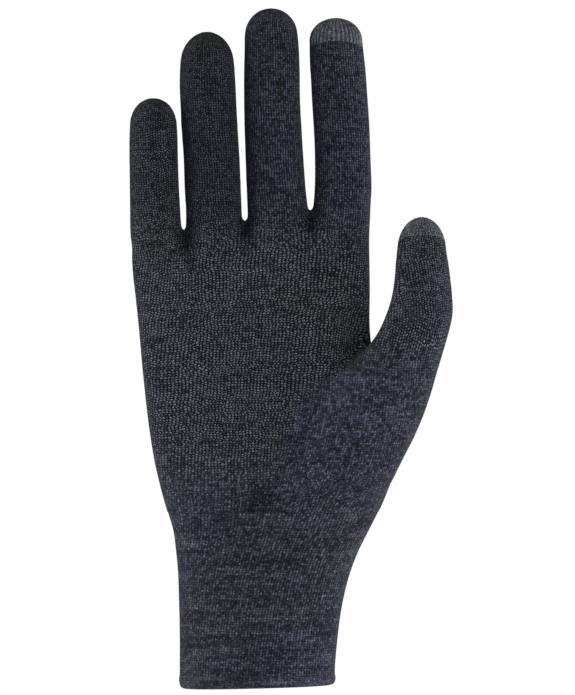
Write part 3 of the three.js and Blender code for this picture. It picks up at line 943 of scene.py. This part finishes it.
cuff_rings = int((WRIST_HEIGHT - HEM_HEIGHT) / CUFF_ROW)
cuff_columns = CUFF_RIBS * COLUMNS_A_RIB
cuff, column, ring = open_tube("cuff", cuff_columns, cuff_rings)
cuff_heights = np.linspace(HEM_HEIGHT, WRIST_HEIGHT, cuff_rings)
points = np.zeros((len(column), 3))
cuff_sizes = sizes_at(TRUNK_ROWS, cuff_heights)
for number, height in enumerate(cuff_heights):
    here = ring == number
    share = column[here] / cuff_columns + rib_lean(height) / CUFF_RIBS
    x, y = even_ring(cuff_sizes[number], share, TRUNK_SQUARENESS)
    points[here] = np.stack([x, y, np.full(len(x), height)], axis=1)
set_vertices(cuff, points * MM)
turn_outward(cuff)
normals = normals_of(cuff)
rib = rib_wave(column)
fade = ease(points[:, 2], WRIST_HEIGHT, WRIST_HEIGHT - 6)
points += normals * (rib * RIB_RELIEF * fade)[:, None]
set_vertices(cuff, points * MM)
write_knitting(
    cuff,
    columns_unrolled(cuff, column / COLUMNS_A_RIB, points[:, 2] / COURSE, CUFF_RIBS),
    KNIT_ZONES["cuff"],
)
apply_modifier(cuff, "SOLIDIFY", thickness=CUFF_WALL * MM, offset=-1)
cuff_yarn = yarn_material(
    "charcoal cuff knit",
    colours=CHARCOAL,
    knit={"Stitch contrast": 0.5, "Streak contrast": 0.65, "Streak length": 16.0},
    tint=BLUE_TINT,
    bump=STITCH_BUMP,
)
finish(cuff, cuff_yarn, "cuff_knit", "wrist_cuff")

# The hem: the cuff's end is turned in and knitted down double, so the edge is a soft round welt
# that is thicker than the cuff. It stands a little higher at the thumb side.
# in mm: the welt's thickness, how much higher its edge is at the thumb side, up to what height
# the edge is rounded, how far in its ribs reach, and the cloth between two rings of its profile
HEM_WALL = 2.4
HEM_SLOPE = 1.5
HEM_EDGE = 2.0
HEM_RIBBED = 2.0
HEM_RING_STEP = 0.7
# how far in from the outside, and height, down the outside, round the edge and up the inside
HEM_PROFILE = [
    (0.0, HEM_HEIGHT),
    (-0.12, 4.4),
    (-0.2, 3.6),
    (-0.22, 2.8),
    (-0.16, 2.0),
    (0.0, 1.3),
    (0.25, 0.7),
    (0.65, 0.22),
    (1.2, 0.0),
    (1.75, 0.22),
    (2.2, 0.8),
    (HEM_WALL, 1.6),
    (HEM_WALL, 3.4),
    (HEM_WALL, HEM_HEIGHT),
    (HEM_WALL / 2, HEM_HEIGHT),
    (0.0, HEM_HEIGHT),
]
hem, column, ring = open_tube("hem", cuff_columns, len(HEM_PROFILE))
points = np.zeros((len(column), 3))
rib = rib_wave(column)
for number, (inward, height) in enumerate(HEM_PROFILE):
    here = ring == number
    sizes = sizes_at(TRUNK_ROWS, np.array([max(height, HEM_EDGE)]))[0]
    ribbed = 1.0 if inward < HEM_RIBBED else 0.0
    depth = inward - RIB_RELIEF * 0.5 * rib[here] * ribbed
    share = column[here] / cuff_columns + rib_lean(HEM_HEIGHT) / CUFF_RIBS
    x, y = even_ring(sizes, share, TRUNK_SQUARENESS)
    width, thick = (sizes[1] - sizes[0]) / 2, (sizes[3] - sizes[2]) / 2
    middle_x = (sizes[0] + sizes[1]) / 2
    x = middle_x + (x - middle_x) * (1 - depth / width)
    y = y * (1 - depth / thick)
    lift = HEM_SLOPE * (0.5 + 0.5 * x / width) * (1 - height / HEM_HEIGHT)
    points[here] = np.stack([x, y, height + lift], axis=1)
set_vertices(hem, points * MM)
write_knitting(
    hem,
    columns_unrolled(hem, column / COLUMNS_A_RIB, ring * HEM_RING_STEP / COURSE, CUFF_RIBS),
    KNIT_ZONES["hem"],
)
turn_outward(hem, merge=0.01)
hem_yarn = yarn_material(
    "charcoal hem knit",
    colours=[*CHARCOAL[:2], (0.1, 0.106, 0.12)],
    knit={"Stitch contrast": 0.4, "Streak contrast": 0.8, "Streak length": 12.0},
    tint=BLUE_TINT,
    bump=STITCH_BUMP,
)
finish(hem, hem_yarn, "hem_knit", "cuff_hem")

# The touch tips: the ends of the index finger and the thumb are knitted on in a lighter grey
# yarn, most likely a conductive one, in plain raised wales without the mixed fibres.
# the columns of vertices in a wale, the rings of them and the courses of stitches up to the
# tip, how far a wale stands out, and how far under the very tip it has gone flat, in mm
TIP_COLUMNS_A_WALE = 6
TIP_RINGS = 30
TIP_COURSES = 16.0
WALE_RELIEF = 0.12
WALE_FADE = 2.5


def tip_surface(rows, dome, height, angle):
    """Points on a fingertip at these heights and directions, dome and straight part alike."""
    top = rows[-1][0]
    rise = np.clip((height - top) / dome, 0, 1)
    share = np.sqrt(np.clip(1 - rise**2, 0, 1))
    sizes = sizes_at(rows, np.minimum(height, top))
    x, y, _ = ring_points(sizes, angle, FINGER_SQUARENESS, share)
    return x, y


def touch_tip(name, rows, dome, wales, edge, zone):
    """A fingertip's tube from its tilted edge to its round end, with raised wales."""
    columns = 2 * wales * TIP_COLUMNS_A_WALE
    piece, column, ring = open_tube(name, columns, TIP_RINGS)
    angle = math.pi + 2 * math.pi * column / columns
    top = rows[-1][0] + dome
    low = np.full(len(column), float(edge["height"]))
    # the edge is tilted, so the place where it lies is found in a few steps
    for _ in range(4):
        x, y = tip_surface(rows, dome, low, angle)
        low = edge["height"] - (y - edge["middle"][1]) * math.tan(tilt)
    part = ring / (TIP_RINGS - 1)
    height = low + (top - low) * np.sin(part * math.pi / 2)
    x, y = tip_surface(rows, dome, height, angle)
    points = np.stack([x, y, height], axis=1)
    set_vertices(piece, points * MM)
    wale = column / TIP_COLUMNS_A_WALE
    write_knitting(
        piece,
        columns_unrolled(piece, wale, part * TIP_COURSES, 2.0 * wales),
        zone,
    )
    turn_outward(piece, merge=0.02)
    points, normals = vertices_of(piece), normals_of(piece)
    middle = (rows[-1][1] + rows[-1][2]) / 2 * MM
    turn = np.arctan2(points[:, 1] - edge["middle"][1] * MM, middle - points[:, 0])
    rib = np.cos(turn * 2 * wales)
    flat = ease(points[:, 2], top * MM, (top - WALE_FADE) * MM)
    set_vertices(piece, points + normals * (rib * flat * WALE_RELIEF * MM)[:, None])
    return piece


tip_yarn = yarn_material(
    "grey touch yarn",
    colours=[(0.002, 0.0022, 0.0025), (0.058, 0.067, 0.074), (0.16, 0.18, 0.19)],
    knit={"Stitch contrast": 0.35, "Streak contrast": 0.3, "Streak length": 9.0},
    tint=(0.97, 1.0, 1.05),
    bump=0.0004,
)
index_tip = touch_tip(
    "index_tip",
    FINGERS["index"]["sections"],
    FINGERS["index"]["tip"],
    wales=18,
    edge=TIP_EDGES["index"],
    zone=KNIT_ZONES["index tip"],
)
apply_modifier(index_tip, "SOLIDIFY", thickness=HAND_WALL * MM, offset=-1)
finish(index_tip, tip_yarn, "touch_yarn", "index_touch_tip")
thumb_tip = touch_tip(
    "thumb_tip",
    THUMB_ROWS,
    THUMB_TIP,
    wales=20,
    edge=TIP_EDGES["thumb"],
    zone=KNIT_ZONES["thumb tip"],
)
apply_modifier(thumb_tip, "SOLIDIFY", thickness=HAND_WALL * MM, offset=-1)
finish(thumb_tip, tip_yarn, "touch_yarn", "thumb_touch_tip")

# The studio: a pale floor well under the glove, which is held up at its wrist opening, an even
# white surround, a soft light at each side and a broad soft light from the front.
bpy.ops.object.select_all(action="DESELECT")
FLOOR_HEIGHT = -0.25
bpy.ops.mesh.primitive_circle_add(vertices=96, radius=1.3, fill_type="NGON", location=(0, 0, 0))
floor = bpy.context.object
floor.name = "floor"
for corner_point in floor.data.vertices:
    corner_point.co.z = FLOOR_HEIGHT
floor_paint = bpy.data.materials.new("pale floor")
floor_paint.use_nodes = True
paint = floor_paint.node_tree.nodes["Principled BSDF"]
paint.inputs["Base Color"].default_value = (0.85, 0.85, 0.85, 1)
paint.inputs["Roughness"].default_value = 0.8
floor.data.materials.append(floor_paint)

surround = bpy.data.worlds.new("white surround")
bpy.context.scene.world = surround
surround.use_nodes = True
tree = surround.node_tree
tree.nodes.clear()
out = tree.nodes.new("ShaderNodeOutputWorld")
seen = tree.nodes.new("ShaderNodeBackground")
seen.inputs["Color"].default_value = (1, 1, 1, 1)
seen.inputs["Strength"].default_value = 1.0
lit = tree.nodes.new("ShaderNodeBackground")
lit.inputs["Color"].default_value = (1, 1, 1, 1)
lit.inputs["Strength"].default_value = 0.195
path = tree.nodes.new("ShaderNodeLightPath")
by_ray = tree.nodes.new("ShaderNodeMixShader")
tree.links.new(path.outputs["Is Camera Ray"], by_ray.inputs["Fac"])
tree.links.new(lit.outputs["Background"], by_ray.inputs[1])
tree.links.new(seen.outputs["Background"], by_ray.inputs[2])
tree.links.new(by_ray.outputs["Shader"], out.inputs["Surface"])

GLOVE_MIDDLE = (0.012, 0.0, 0.125)


def soft_light(name, place, size, power):
    """A softbox that faces the middle of the glove."""
    light = bpy.data.lights.new(name, "AREA")
    light.shape = "RECTANGLE"
    light.size, light.size_y = size
    light.energy = power
    lamp = bpy.data.objects.new(name, light)
    bpy.context.scene.collection.objects.link(lamp)
    lamp.location = place
    aim = np.array(GLOVE_MIDDLE) - np.array(place)
    lamp.rotation_mode = "QUATERNION"
    lamp.rotation_quaternion = Vector(aim).to_track_quat("-Z", "Y")


soft_light("left softbox", (-1.2, -0.06, 0.32), (0.3, 1.0), 14.6)
soft_light("right softbox", (1.2, -0.1, 0.3), (0.3, 1.0), 10.2)
soft_light("front softbox", (0.55, -1.4, 0.6), (0.8, 0.7), 18.5)

# The camera: at the photo's angle, straight in front of the palm and level with the glove's
# middle, far off with a long lens. The photo is this many pixels wide and high.
PHOTO_SIZE = (575, 695)
eye = bpy.data.cameras.new("camera")
camera = bpy.data.objects.new("camera", eye)
bpy.context.scene.collection.objects.link(camera)
eye.sensor_fit = "VERTICAL"
eye.sensor_height = 36
eye.sensor_width = eye.sensor_height * PHOTO_SIZE[0] / PHOTO_SIZE[1]
eye.lens = 337.6
camera.location = (0.0112, -2.4, 0.1254)
camera.rotation_euler = (math.pi / 2, 0, 0)
bpy.context.scene.camera = camera
bpy.context.scene.view_settings.view_transform = "Standard"
bpy.context.scene.view_settings.look = "None"
